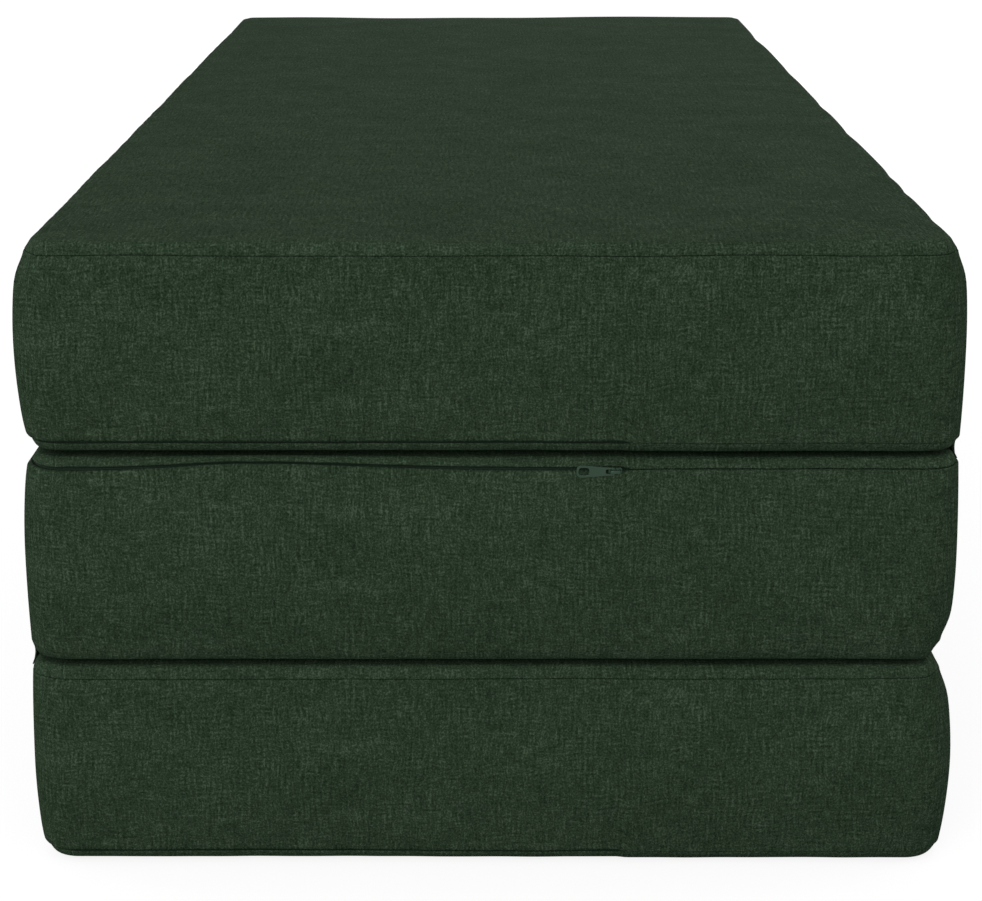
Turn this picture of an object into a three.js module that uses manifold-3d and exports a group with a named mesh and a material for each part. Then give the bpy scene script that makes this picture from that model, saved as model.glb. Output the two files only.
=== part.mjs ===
// Tri-fold foam mattress, folded into a stack of three panels.
// Every panel is a zipped cloth cover over a knitted sock, a comfort foam and a core foam.
// Millimetres, +Z up. The long side that the photograph shows faces -Y.

import * as THREE from 'three';
import Module from 'manifold-3d';
import { mergeVertices } from 'three/addons/utils/BufferGeometryUtils.js';

const wasm = await Module();
wasm.setup();

// Driving dimensions of one panel, measured over its cover
const panelWidth = 660.4;
const panelLength = 1473.2;
const panelHeight = 152.4;
const cornerRadius = 32;

// Form of the stuffed cover
const crownRise = 3;
const crownRun = 90;
const faceRimRadius = 8;
const baseRimRadius = 9.5;
const seamDrawIn = 4.5;
const tightestCornerRadius = 12;

// Sheet thicknesses and the foam split
const clothThickness = 1.5;
const sockThickness = 1;
const comfortFoamHeight = 38;
const sockMouthInset = 70;
const foamBevelHeight = 40;

// Clearances
const restGap = 0.3;
const runningGap = 0.3;

// Zip: where it runs, its slot, its tapes and its coils
const zipEndX = 98;
const zipSlotTaper = 8;
const zipTapeTail = 6;
const slotHalfWidth = 1.3;
const tapeThickness = 1.2;
const tapeWidth = 13;
const coilHalfGap = 1.1;
const coilWidth = 2;
const coilHeight = 2;

// Zip slider and the bridge that holds its pull
const sliderLength = 9;
const sliderHalfWidth = 2.3;
const sliderRearHalfWidth = 1.9;
const sliderPlateThickness = 1;
const sliderParkMargin = 7.5;
const flangeThickness = 0.8;
const flangeHeight = 0.7;
const dividerHalfWidth = 0.8;
const dividerLength = 3.4;
const bridgeLength = 7;
const bridgeHalfWidth = 1.2;
const bridgeThickness = 1;

// Zip pull
const pullLength = 26;
const pullThickness = 1.2;
const pullEyeBar = 1.2;
const pullEyeLength = 4.9;
const pullEyeHalfWidth = 1.6;
const pullNeckHalfWidth = 2.75;
const pullTipHalfWidth = 4.25;
const pullTipRadius = 3.9;
const pullWindowLength = 7.4;
const pullWindowHalfWidth = 2.4;
const pullWindowMargin = 1.3;

// Fold strip that joins two panels inside the notch between them
const foldStripThickness = 1.2;
const stripStartAngle = Math.PI / 5;
const stripWebAngle = Math.PI / 3;

// Counts
const cornerSteps = 5;
const rimSteps = 4;
const wallSteps = 4;
const crownSteps = 3;
const stripSteps = 4;
const roundSteps = 6;

// Colours and finishes
const clothColour = 0x2f4031;
const sockColour = 0xecebe4;
const comfortFoamColour = 0xe9ecea;
const coreFoamColour = 0xe8e0c8;
const tapeColour = 0x26352a;
const coilColour = 0x2b3f31;
const sliderColour = 0x35503c;

// Levels and places worked out from the sizes above
const halfWidth = panelWidth / 2;
const halfLength = panelLength / 2;
const zipLevel = baseRimRadius;
const seamLevel = panelHeight - crownRise - faceRimRadius;
const wallMiddle = (zipLevel + seamLevel) / 2;
const wallHalfHeight = (seamLevel - zipLevel) / 2;
const baseRimInset = seamDrawIn + baseRimRadius;
const faceRimInset = seamDrawIn + faceRimRadius;
const panelPitch = panelHeight + restGap;
const seamHalfGap = restGap / 2;
const tapeOutside = clothThickness + restGap;
const tapeInside = tapeOutside + tapeThickness;
const coilOutside = tapeInside + restGap;
const coilInside = coilOutside + coilHeight;
const innerPlateOutside = coilInside + runningGap;
const sliderReach = innerPlateOutside + sliderPlateThickness;
const innerPlateHalfWidth = coilHalfGap + coilWidth + runningGap + flangeThickness;
const sockDepth = clothThickness + restGap;
const foamDepth = sockDepth + sockThickness + restGap;
const foamSplitLevel = panelHeight - foamDepth - comfortFoamHeight;

// Inset of the wall from the panel's widest line: the seams draw it in, the stuffing swells it.
function wallInset(level) {
  const share = (level - wallMiddle) / wallHalfHeight;
  return seamDrawIn * share * share;
}

// Outline of a panel in plan, as stations that run counter-clockwise from the zip's back end.
// The zip runs from the back wall round the left side to the front wall. A corner station turns
// about its corner's centre, a wall station lies on the front or back wall.
function outlineStations() {
  const stations = [];
  const corner = (signX, signY, startQuarter, open) => {
    for (let step = 0; step <= cornerSteps; step += 1) {
      const angle = (startQuarter + step / cornerSteps) * Math.PI / 2;
      stations.push({ signX, signY, angle, open });
    }
  };
  stations.push({ wallSign: 1, along: zipEndX + zipSlotTaper, open: false });
  stations.push({ wallSign: 1, along: zipEndX, open: true });
  corner(-1, 1, 1, true);
  corner(-1, -1, 2, true);
  stations.push({ wallSign: -1, along: zipEndX, open: true });
  stations.push({ wallSign: -1, along: zipEndX + zipSlotTaper, open: false });
  corner(1, -1, 3, false);
  corner(1, 1, 0, false);
  return stations;
}

const outline = outlineStations();

// Point of the outline at an inset, on a level. The corners tighten until their least radius,
// and the wall stations keep their share of the straight wall.
function outlinePoint(station, inset, level) {
  const radius = Math.max(cornerRadius - inset, tightestCornerRadius);
  const straightX = halfWidth - inset - radius;
  const straightY = halfLength - inset - radius;
  if (station.wallSign) {
    const share = station.along / (halfWidth - cornerRadius);
    const y = station.wallSign * (halfLength - inset);
    return new THREE.Vector3(share * straightX, y, level);
  }
  return new THREE.Vector3(
    station.signX * straightX + radius * Math.cos(station.angle),
    station.signY * straightY + radius * Math.sin(station.angle),
    level,
  );
}

// One ring round the panel. A profile point is [inset, level], or a function of the lip's half gap
// that returns one, for the lips that part over the zip and meet elsewhere.
function ring(profilePoint) {
  return outline.map((station) => {
    const lipGap = station.open ? slotHalfWidth : seamHalfGap;
    const [inset, level] = typeof profilePoint === 'function' ? profilePoint(lipGap) : profilePoint;
    return outlinePoint(station, inset, level);
  });
}

// Signed volume of a triangle list, positive where the faces look outwards.
function signedVolume(points, triangles) {
  let sum = 0;
  for (const [a, b, c] of triangles) {
    const cross = new THREE.Vector3().crossVectors(points[b], points[c]);
    sum += points[a].dot(cross) / 6;
  }
  return sum;
}

// Geometry of a closed body, with its faces turned outwards.
function closedBody(points, triangles) {
  const outwards = signedVolume(points, triangles) > 0;
  const faces = outwards ? triangles : triangles.map(([a, b, c]) => [a, c, b]);
  const geometry = new THREE.BufferGeometry();
  const position = new Float32Array(points.flatMap((point) => [point.x, point.y, point.z]));
  geometry.setAttribute('position', new THREE.BufferAttribute(position, 3));
  geometry.setIndex(faces.flat());
  return geometry;
}

// Body lofted through rings of equal count. With caps the first and last ring are filled from
// their middle, without them the last ring joins the first one, as in a tube.
function loft(rings, capped) {
  const count = rings[0].length;
  const points = rings.flat();
  const triangles = [];
  const joins = capped ? rings.length - 1 : rings.length;
  for (let row = 0; row < joins; row += 1) {
    const lower = row * count;
    const upper = ((row + 1) % rings.length) * count;
    for (let index = 0; index < count; index += 1) {
      const next = (index + 1) % count;
      triangles.push([lower + index, lower + next, upper + next]);
      triangles.push([lower + index, upper + next, upper + index]);
    }
  }
  if (capped) {
    const fill = (start, flip) => {
      const middle = new THREE.Vector3();
      rings[start / count].forEach((point) => middle.addScaledVector(point, 1 / count));
      const centre = new THREE.Vector3(0, 0, middle.z);
      const centreIndex = points.push(centre) - 1;
      for (let index = 0; index < count; index += 1) {
        const next = (index + 1) % count;
        const pair = flip ? [start + next, start + index] : [start + index, start + next];
        triangles.push([centreIndex, ...pair]);
      }
    };
    fill(0, true);
    fill((rings.length - 1) * count, false);
  }
  return closedBody(points, triangles);
}

// Evenly spaced shares from 0 to 1.
function shares(steps) {
  return Array.from({ length: steps + 1 }, (_, step) => step / steps);
}

// Quarter round of the base rim at a depth under the outer cloth, from the flat up to its lip.
function baseRim(depth) {
  const radius = baseRimRadius - depth;
  return shares(rimSteps).map((share) => (lipGap) => {
    const lipAngle = Math.asin(lipGap / baseRimRadius);
    const angle = Math.PI / 2 - share * (Math.PI / 2 - lipAngle);
    return [baseRimInset - radius * Math.cos(angle), zipLevel - radius * Math.sin(angle)];
  });
}

// Quarter round of the face rim at a depth, from its lip up to the crown.
function faceRim(depth, lipGap) {
  const radius = faceRimRadius - depth;
  const lipAngle = Math.asin(lipGap / faceRimRadius);
  return shares(rimSteps).map((share) => {
    const angle = lipAngle + share * (Math.PI / 2 - lipAngle);
    return [faceRimInset - radius * Math.cos(angle), seamLevel + radius * Math.sin(angle)];
  });
}

// Crown of the face at a depth, from the rim in to the flat plateau.
function crown(depth) {
  return shares(crownSteps).slice(1).map((share) => {
    const drop = crownRise * (1 - share) * (1 - share);
    return [faceRimInset + share * crownRun, panelHeight - drop - depth];
  });
}

// Wall at a depth, between two levels. The levels may be functions of the lip's half gap.
function wall(depth, lowLevel, highLevel) {
  return shares(wallSteps).map((share) => (lipGap) => {
    const level = lowLevel(lipGap) + share * (highLevel(lipGap) - lowLevel(lipGap));
    return [wallInset(level) + depth, level];
  });
}

// Sewn cover: a base sheet with its rim, a side band and a face sheet with its rim
function coverBase() {
  const outside = baseRim(0);
  const inside = baseRim(clothThickness).reverse();
  return loft([...outside, ...inside].map(ring), true);
}

function coverBand() {
  const lowLip = (lipGap) => zipLevel + lipGap;
  const highLip = () => seamLevel - seamHalfGap;
  const outside = wall(0, lowLip, highLip);
  const inside = wall(clothThickness, lowLip, highLip).reverse();
  return loft([...outside, ...inside].map(ring), false);
}

function coverFace() {
  const inside = [...faceRim(clothThickness, seamHalfGap), ...crown(clothThickness)].reverse();
  const outside = [...faceRim(0, seamHalfGap), ...crown(0)];
  return loft([...inside, ...outside].map(ring), true);
}

// Bevel of the foam's base edge. Its line runs down from the wall at the bevel's height and
// passes inside both the slider's inner plate and the top of the tape.
function bevelFootInset() {
  const top = { inset: wallInset(foamBevelHeight) + sockDepth, level: foamBevelHeight };
  const plateCorner = {
    inset: seamDrawIn + sliderReach + runningGap,
    level: zipLevel + innerPlateHalfWidth + runningGap,
  };
  const tapeCorner = {
    inset: seamDrawIn + tapeInside + restGap,
    level: zipLevel + slotHalfWidth + tapeWidth + restGap,
  };
  const lean = Math.max(...[plateCorner, tapeCorner].map(
    (corner) => (corner.inset - top.inset) / (top.level - corner.level),
  ));
  return top.inset + lean * (top.level - sockDepth);
}

const bevelFoot = bevelFootInset();

// Side of the lining or the foam at a depth: bevel foot, bevel top and the wall above it.
function liningWall(depth) {
  const levels = [foamBevelHeight, wallMiddle, foamSplitLevel];
  return levels.map((level) => [wallInset(level) + depth, level]);
}

// Fire-barrier sock, open under the base inside its turned-in mouth
function innerSock() {
  const outsideDepth = sockDepth;
  const insideDepth = sockDepth + sockThickness;
  const outside = [
    [sockMouthInset, outsideDepth],
    [bevelFoot, outsideDepth],
    ...liningWall(outsideDepth),
    [wallInset(seamLevel) + outsideDepth, seamLevel],
    ...faceRim(outsideDepth, seamHalfGap).slice(1),
    ...crown(outsideDepth),
  ];
  const inside = [
    [sockMouthInset, insideDepth],
    [bevelFoot + sockThickness, insideDepth],
    ...liningWall(insideDepth),
    [wallInset(seamLevel) + insideDepth, seamLevel],
    ...faceRim(insideDepth, seamHalfGap).slice(1),
    ...crown(insideDepth),
  ];
  return loft([...inside.reverse(), ...outside].map(ring), true);
}

function coreFoam() {
  const wallRings = liningWall(foamDepth);
  const foot = bevelFoot + sockThickness + restGap;
  return loft([[foot, foamDepth], ...wallRings].map(ring), true);
}

function comfortFoam() {
  const underside = foamSplitLevel + restGap;
  const rings = [
    [wallInset(underside) + foamDepth, underside],
    [wallInset(seamLevel) + foamDepth, seamLevel],
    ...faceRim(foamDepth, seamHalfGap).slice(1),
    ...crown(foamDepth),
  ];
  return loft(rings.map(ring), true);
}

// Zip parts that follow the outline. A section point is [outward, up] from the zip line.
function zipStations() {
  const firstOpen = outline.findIndex((station) => station.open);
  const lastOpen = outline.findLastIndex((station) => station.open);
  const run = outline.slice(firstOpen, lastOpen + 1);
  const tailBack = { ...run[0], along: run[0].along + zipTapeTail };
  const tailFront = { ...run.at(-1), along: run.at(-1).along + zipTapeTail };
  return [tailBack, ...run, tailFront];
}

function alongZip(section) {
  const stations = zipStations();
  const count = section.length;
  const points = stations.flatMap((station) => section.map(
    ([outward, up]) => outlinePoint(station, seamDrawIn - outward, zipLevel + up),
  ));
  const triangles = [];
  for (let row = 0; row + 1 < stations.length; row += 1) {
    for (let index = 0; index < count; index += 1) {
      const next = (index + 1) % count;
      const here = row * count;
      const there = here + count;
      triangles.push([here + index, here + next, there + next]);
      triangles.push([here + index, there + next, there + index]);
    }
  }
  const contour = section.map(([outward, up]) => new THREE.Vector2(outward, up));
  const cap = THREE.ShapeUtils.triangulateShape(contour, []);
  const turned = THREE.ShapeUtils.area(contour) > 0;
  const last = (stations.length - 1) * count;
  for (const [a, b, c] of cap) {
    const [p, q] = turned ? [b, c] : [c, b];
    triangles.push([a, q, p]);
    triangles.push([last + a, last + p, last + q]);
  }
  return closedBody(points, triangles);
}

// Point inside the base rim, on a circle about the rim's centre, at a drop below the zip line.
function inBaseRim(radius, drop) {
  return [Math.sqrt(radius * radius - drop * drop) - baseRimRadius, -drop];
}

function zipTapeBandSide() {
  return alongZip([
    [-tapeInside, coilHalfGap],
    [-tapeOutside, coilHalfGap],
    [-tapeOutside, slotHalfWidth + tapeWidth],
    [-tapeInside, slotHalfWidth + tapeWidth],
  ]);
}

function zipTapeBaseSide() {
  const outerRadius = baseRimRadius - tapeOutside;
  const innerRadius = baseRimRadius - tapeInside;
  const arcLength = tapeWidth - slotHalfWidth;
  const endAngle = Math.min(arcLength / outerRadius, Math.PI / 2);
  const arc = (radius) => {
    const startAngle = Math.asin(coilHalfGap / radius);
    return shares(roundSteps).map((share) => {
      const angle = startAngle + share * (endAngle - startAngle);
      return inBaseRim(radius, radius * Math.sin(angle));
    });
  };
  return alongZip([...arc(outerRadius), ...arc(innerRadius).reverse()]);
}

function zipCoilBandSide() {
  return alongZip([
    [-coilInside, coilHalfGap],
    [-coilOutside, coilHalfGap],
    [-coilOutside, coilHalfGap + coilWidth],
    [-coilInside, coilHalfGap + coilWidth],
  ]);
}

function zipCoilBaseSide() {
  const seat = baseRimRadius - coilOutside;
  return alongZip([
    [-coilInside, -coilHalfGap],
    inBaseRim(seat, coilHalfGap),
    inBaseRim(seat, coilHalfGap + coilWidth),
    [-coilInside, -coilHalfGap - coilWidth],
  ]);
}

// Slider, in its own frame: x along the zip towards the parked end, -y outwards, z across the zip
const plateLift = seamDrawIn - wallInset(zipLevel + sliderHalfWidth) + runningGap;
const plateTop = plateLift + sliderPlateThickness;
const eyeBarSwing = Math.hypot(pullEyeBar, pullThickness) / 2 + runningGap;
const bridgeUnderside = plateTop + 2 * eyeBarSwing;
const bridgeTop = bridgeUnderside + bridgeThickness;
const pivotOutward = plateTop + eyeBarSwing;
const pivotAlong = eyeBarSwing + bridgeThickness - bridgeLength / 2;

function solid(geometry) {
  geometry.deleteAttribute('normal');
  geometry.deleteAttribute('uv');
  const merged = mergeVertices(geometry);
  return new wasm.Manifold(new wasm.Mesh({
    numProp: 3,
    vertProperties: new Float32Array(merged.attributes.position.array),
    triVerts: new Uint32Array(merged.index.array),
  }));
}

function geometryOf(manifold) {
  const mesh = manifold.getMesh();
  const geometry = new THREE.BufferGeometry();
  const position = new THREE.BufferAttribute(new Float32Array(mesh.vertProperties), 3);
  geometry.setAttribute('position', position);
  geometry.setIndex(new THREE.BufferAttribute(new Uint32Array(mesh.triVerts), 1));
  return geometry;
}

// Plate in the plan outline of a slider, between two outward distances.
function sliderPlate(shoulderHalfWidth, rearHalfWidth, low, high) {
  const half = sliderLength / 2;
  const shape = new THREE.Shape();
  shape.moveTo(-half, -rearHalfWidth);
  shape.lineTo(0, -rearHalfWidth);
  shape.lineTo(half - dividerLength / 2, -shoulderHalfWidth);
  shape.quadraticCurveTo(half, -shoulderHalfWidth, half, 0);
  shape.quadraticCurveTo(half, shoulderHalfWidth, half - dividerLength / 2, shoulderHalfWidth);
  shape.lineTo(0, rearHalfWidth);
  shape.lineTo(-half, rearHalfWidth);
  shape.closePath();
  const options = { depth: high - low, bevelEnabled: false, curveSegments: roundSteps };
  const geometry = new THREE.ExtrudeGeometry(shape, options);
  geometry.rotateX(Math.PI / 2);
  geometry.translate(0, -low, 0);
  return solid(geometry);
}

function box(alongLow, alongHigh, outwardLow, outwardHigh, halfAcross, acrossMiddle) {
  const size = [alongHigh - alongLow, outwardHigh - outwardLow, 2 * halfAcross];
  const geometry = new THREE.BoxGeometry(...size);
  geometry.translate((alongLow + alongHigh) / 2, -(outwardLow + outwardHigh) / 2, acrossMiddle);
  return solid(geometry);
}

// Bridge loop over the outer plate, with rounded shoulders, standing in the plate.
function sliderBridge() {
  const half = bridgeLength / 2;
  const foot = -(plateLift + plateTop) / 2;
  const shape = new THREE.Shape();
  const top = -bridgeTop;
  const shoulder = bridgeThickness;
  shape.moveTo(half, foot);
  shape.lineTo(-half, foot);
  shape.lineTo(-half, top + shoulder);
  shape.quadraticCurveTo(-half, top, shoulder - half, top);
  shape.lineTo(half - shoulder, top);
  shape.quadraticCurveTo(half, top, half, top + shoulder);
  shape.closePath();
  const options = { depth: 2 * bridgeHalfWidth, bevelEnabled: false, curveSegments: roundSteps };
  const geometry = new THREE.ExtrudeGeometry(shape, options);
  geometry.translate(0, 0, -bridgeHalfWidth);
  const archHalf = half - bridgeThickness;
  return solid(geometry).subtract(
    box(-archHalf, archHalf, plateTop, bridgeUnderside, 2 * bridgeHalfWidth, 0),
  );
}

function zipSlider() {
  const half = sliderLength / 2;
  const innerPlateRearHalfWidth = innerPlateHalfWidth - (sliderHalfWidth - sliderRearHalfWidth);
  const outerPlate = sliderPlate(sliderHalfWidth, sliderRearHalfWidth, plateLift, plateTop);
  const innerPlate = box(-half, half, -sliderReach, -innerPlateOutside, innerPlateHalfWidth, 0);
  const divider = box(
    half - dividerLength, half - dividerLength / 2,
    -(innerPlateOutside + sliderPlateThickness / 2), plateLift + sliderPlateThickness / 2,
    dividerHalfWidth, 0,
  );
  const flangeMiddle = innerPlateHalfWidth - flangeThickness / 2;
  const flange = (side) => box(
    -half, half,
    -(innerPlateOutside + sliderPlateThickness / 2), flangeHeight - innerPlateOutside,
    flangeThickness / 2, side * flangeMiddle,
  );
  const trim = sliderPlate(
    innerPlateHalfWidth, innerPlateRearHalfWidth,
    -(sliderReach + sliderPlateThickness), bridgeTop + sliderPlateThickness,
  );
  return geometryOf(outerPlate
    .add(innerPlate)
    .add(flange(1))
    .add(flange(-1))
    .add(divider)
    .add(sliderBridge())
    .intersect(trim));
}

// Pull, in the slider's frame turned to its pivot: it lies along -x over the closed zip.
function zipPull() {
  const eyeEnd = pullEyeBar / 2;
  const tip = eyeEnd - pullLength;
  const shape = new THREE.Shape();
  shape.moveTo(eyeEnd, -pullNeckHalfWidth);
  shape.lineTo(eyeEnd, pullNeckHalfWidth);
  shape.lineTo(-eyeEnd - pullEyeLength, pullNeckHalfWidth);
  shape.lineTo(tip + pullTipRadius, pullTipHalfWidth);
  shape.quadraticCurveTo(tip, pullTipHalfWidth, tip, pullTipHalfWidth - pullTipRadius);
  shape.lineTo(tip, pullTipRadius - pullTipHalfWidth);
  shape.quadraticCurveTo(tip, -pullTipHalfWidth, tip + pullTipRadius, -pullTipHalfWidth);
  shape.lineTo(-eyeEnd - pullEyeLength, -pullNeckHalfWidth);
  shape.closePath();
  shape.holes.push(ovalHole(-eyeEnd, pullEyeLength, pullEyeHalfWidth));
  shape.holes.push(ovalHole(tip + pullWindowMargin + pullWindowLength, pullWindowLength,
    pullWindowHalfWidth));
  const options = { depth: pullThickness, bevelEnabled: false, curveSegments: roundSteps };
  const geometry = new THREE.ExtrudeGeometry(shape, options);
  geometry.rotateX(Math.PI / 2);
  geometry.translate(0, pullThickness / 2, 0);
  return geometry;
}

// Round-ended hole that starts at an x and runs back from it.
function ovalHole(start, length, halfWidthOfHole) {
  const near = start - halfWidthOfHole;
  const far = start - length + halfWidthOfHole;
  const hole = new THREE.Path();
  hole.moveTo(far, -halfWidthOfHole);
  hole.lineTo(near, -halfWidthOfHole);
  hole.absarc(near, 0, halfWidthOfHole, -Math.PI / 2, Math.PI / 2, false);
  hole.lineTo(far, halfWidthOfHole);
  hole.absarc(far, 0, halfWidthOfHole, Math.PI / 2, Math.PI * 3 / 2, false);
  return hole;
}

// Fold strip, seen end-on with its fold line at the origin and the stack towards +x. Its two
// legs lie on the rims of their panels, and a web joins them across the notch. The drop is how
// far the rim's top lies from the plane where the panels meet.
function foldStrip(rimRadius, rimDrop) {
  const centreX = seamDrawIn + rimRadius;
  const centreZ = rimRadius + rimDrop + seamHalfGap;
  const innerRadius = rimRadius + restGap;
  const outerRadius = innerRadius + foldStripThickness;
  const outerEnd = stripWebAngle;
  const webReach = outerRadius * Math.cos(outerEnd) - foldStripThickness;
  const innerEnd = Math.acos(webReach / innerRadius);
  const arc = (radius, endAngle, side) => shares(stripSteps).map((share) => {
    const angle = stripStartAngle + share * (endAngle - stripStartAngle);
    const x = centreX - radius * Math.cos(angle);
    return new THREE.Vector2(x, side * (centreZ - radius * Math.sin(angle)));
  });
  const outer = [...arc(outerRadius, outerEnd, 1), ...arc(outerRadius, outerEnd, -1).reverse()];
  const inner = [...arc(innerRadius, innerEnd, -1), ...arc(innerRadius, innerEnd, 1).reverse()];
  const shape = new THREE.Shape([...outer, ...inner]);
  const length = 2 * (halfLength - cornerRadius);
  const geometry = new THREE.ExtrudeGeometry(shape, { depth: length, bevelEnabled: false });
  geometry.rotateX(Math.PI / 2);
  geometry.translate(0, length / 2, 0);
  return geometry;
}

// Materials
function material(colour, roughness, metalness) {
  return new THREE.MeshStandardMaterial({ color: colour, roughness, metalness });
}

const clothMaterial = material(clothColour, 0.95, 0);
const sockMaterial = material(sockColour, 0.95, 0);
const comfortFoamMaterial = material(comfortFoamColour, 0.9, 0);
const coreFoamMaterial = material(coreFoamColour, 0.9, 0);
const tapeMaterial = material(tapeColour, 0.9, 0);
const coilMaterial = material(coilColour, 0.45, 0);
const sliderMaterial = material(sliderColour, 0.5, 0.2);

function part(name, geometry, finish) {
  const mesh = new THREE.Mesh(geometry, finish.clone());
  mesh.name = name;
  return mesh;
}

// Same body upside down: its levels are measured from the panel's other side.
function turnedOver(geometry) {
  const position = geometry.attributes.position;
  const index = geometry.index;
  for (let vertex = 0; vertex < position.count; vertex += 1) {
    position.setZ(vertex, panelHeight - position.getZ(vertex));
  }
  for (let corner = 0; corner < index.count; corner += 3) {
    const second = index.getX(corner + 1);
    index.setX(corner + 1, index.getX(corner + 2));
    index.setX(corner + 2, second);
  }
  return geometry;
}

// Slider and pull, parked at the zip's front end or, turned over, at its back end.
function parkedSlider(panelName, level, inFront) {
  const carrier = new THREE.Group();
  const along = zipEndX - sliderParkMargin - sliderLength / 2;
  const wallFace = halfLength - seamDrawIn;
  carrier.position.set(along, inFront ? -wallFace : wallFace, level);
  carrier.rotation.x = inFront ? 0 : Math.PI;
  carrier.add(...sliderAndPull(panelName));
  return carrier;
}

function sliderAndPull(panelName) {
  const slider = part(`${panelName}_zip_slider`, zipSlider(), sliderMaterial);
  const pull = part(`${panelName}_zip_pull`, zipPull(), sliderMaterial);
  pull.position.set(pivotAlong, -pivotOutward, 0);
  return [slider, pull];
}

// One panel with everything in it. The middle one lies upside down, with its slider in front.
function panel(panelName, storey) {
  const upsideDown = storey === 1;
  const shaped = (geometry) => (upsideDown ? turnedOver(geometry) : geometry);
  const add = (name, geometry, finish) => part(`${panelName}_${name}`, shaped(geometry), finish);
  const assembly = new THREE.Group();
  assembly.position.z = storey * panelPitch;
  assembly.add(
    add('cover_base', coverBase(), clothMaterial),
    add('cover_band', coverBand(), clothMaterial),
    add('cover_face', coverFace(), clothMaterial),
    add('inner_sock', innerSock(), sockMaterial),
    add('core_foam', coreFoam(), coreFoamMaterial),
    add('comfort_foam', comfortFoam(), comfortFoamMaterial),
    add('zip_tape_band_side', zipTapeBandSide(), tapeMaterial),
    add('zip_tape_base_side', zipTapeBaseSide(), tapeMaterial),
    add('zip_coil_band_side', zipCoilBandSide(), coilMaterial),
    add('zip_coil_base_side', zipCoilBaseSide(), coilMaterial),
  );
  const level = upsideDown ? panelHeight - zipLevel : zipLevel;
  assembly.add(parkedSlider(panelName, level, upsideDown));
  return assembly;
}

// Fold strips: faces meet at the left fold, bases at the right one
function leftFoldStrip() {
  const strip = part('left_fold_strip', foldStrip(faceRimRadius, crownRise), clothMaterial);
  strip.position.set(-halfWidth, 0, panelPitch - seamHalfGap);
  return strip;
}

function rightFoldStrip() {
  const strip = part('right_fold_strip', foldStrip(baseRimRadius, 0), clothMaterial);
  strip.position.set(halfWidth, 0, 2 * panelPitch - seamHalfGap);
  strip.rotation.z = Math.PI;
  return strip;
}

const group = new THREE.Group();
group.add(
  panel('bottom', 0),
  panel('middle', 1),
  panel('top', 2),
  leftFoldStrip(),
  rightFoldStrip(),
);

export default group;
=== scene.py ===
"""Tri-fold foam mattress: the cloth covers, foams, zips and fold strips that dress the CAD frame.

Every sheet of a panel is a grid of rows and columns. A column is a place on the panel's outline,
and a row has an inset from the panel's widest line and a level above the panel's base side. One
field of small pushes and lifts, the same for everything in a panel, turns the plain form into a
stuffed one. Metres, in the frame of the CAD model, whose front is at -Y.
"""

import math

import bpy
import numpy as np
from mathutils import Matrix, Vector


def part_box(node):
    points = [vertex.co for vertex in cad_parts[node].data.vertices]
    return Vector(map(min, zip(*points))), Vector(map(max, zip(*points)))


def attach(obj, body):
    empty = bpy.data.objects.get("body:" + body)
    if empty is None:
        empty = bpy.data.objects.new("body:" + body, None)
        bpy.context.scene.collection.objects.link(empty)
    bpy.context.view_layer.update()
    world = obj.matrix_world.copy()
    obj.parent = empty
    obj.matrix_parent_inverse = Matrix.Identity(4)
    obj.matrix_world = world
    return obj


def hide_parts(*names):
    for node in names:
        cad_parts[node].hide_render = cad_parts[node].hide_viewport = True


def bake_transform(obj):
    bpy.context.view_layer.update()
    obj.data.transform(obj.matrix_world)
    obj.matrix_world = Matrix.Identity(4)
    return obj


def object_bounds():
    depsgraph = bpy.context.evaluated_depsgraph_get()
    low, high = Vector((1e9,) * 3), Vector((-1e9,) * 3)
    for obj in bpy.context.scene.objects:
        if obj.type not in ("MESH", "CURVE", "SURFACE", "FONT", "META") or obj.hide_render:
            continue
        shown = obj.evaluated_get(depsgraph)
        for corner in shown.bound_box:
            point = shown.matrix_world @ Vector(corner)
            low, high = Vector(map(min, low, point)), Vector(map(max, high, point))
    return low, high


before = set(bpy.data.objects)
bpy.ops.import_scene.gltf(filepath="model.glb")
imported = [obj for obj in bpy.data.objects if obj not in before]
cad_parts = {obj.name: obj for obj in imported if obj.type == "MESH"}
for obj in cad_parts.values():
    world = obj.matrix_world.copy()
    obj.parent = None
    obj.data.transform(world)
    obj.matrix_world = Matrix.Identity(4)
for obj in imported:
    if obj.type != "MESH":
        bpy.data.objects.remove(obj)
cad_low, cad_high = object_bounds()

MM = 0.001

# Sizes of the CAD model that the covers keep
HALF_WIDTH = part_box("bottom_cover_band")[1].x
HALF_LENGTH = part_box("bottom_cover_band")[1].y
PANEL_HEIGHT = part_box("bottom_cover_face")[1].z
PANEL_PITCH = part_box("top_cover_base")[0].z / 2
CORNER_RADIUS = 32 * MM
TIGHT_RADIUS = 12 * MM
CROWN_RUN = 90 * MM
SEAM_DRAW_IN = 4.5 * MM
ZIP_LEVEL = 9.5 * MM
SEAM_LEVEL = PANEL_HEIGHT - 11 * MM
WALL_MIDDLE = (ZIP_LEVEL + SEAM_LEVEL) / 2
WALL_HALF = (SEAM_LEVEL - ZIP_LEVEL) / 2
ZIP_END_X = 98 * MM
ZIP_SLOT_TAPER = 8 * MM
FOAM_BEVEL_LEVEL = 40 * MM
FOAM_SPLIT_LEVEL = PANEL_HEIGHT - 41.1 * MM

# Rims, from a seam to the edge of the flat: reach inwards, height and inward lean. The base rim
# stands back from the band by a recess, and less of it where the zip line is a plain seam
FACE_RIM = (6.5 * MM, 9.1 * MM, 0.33)
BASE_RIM = (5.5 * MM, 7.7 * MM, 0.52)
RIM_POWER = 0.5
RIM_RECESS = 2.5 * MM
PLAIN_RECESS_SHARE = 0.4
FACE_EDGE_DROP = PANEL_HEIGHT - SEAM_LEVEL - FACE_RIM[1]
BASE_EDGE_RISE = ZIP_LEVEL - BASE_RIM[1]

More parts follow.
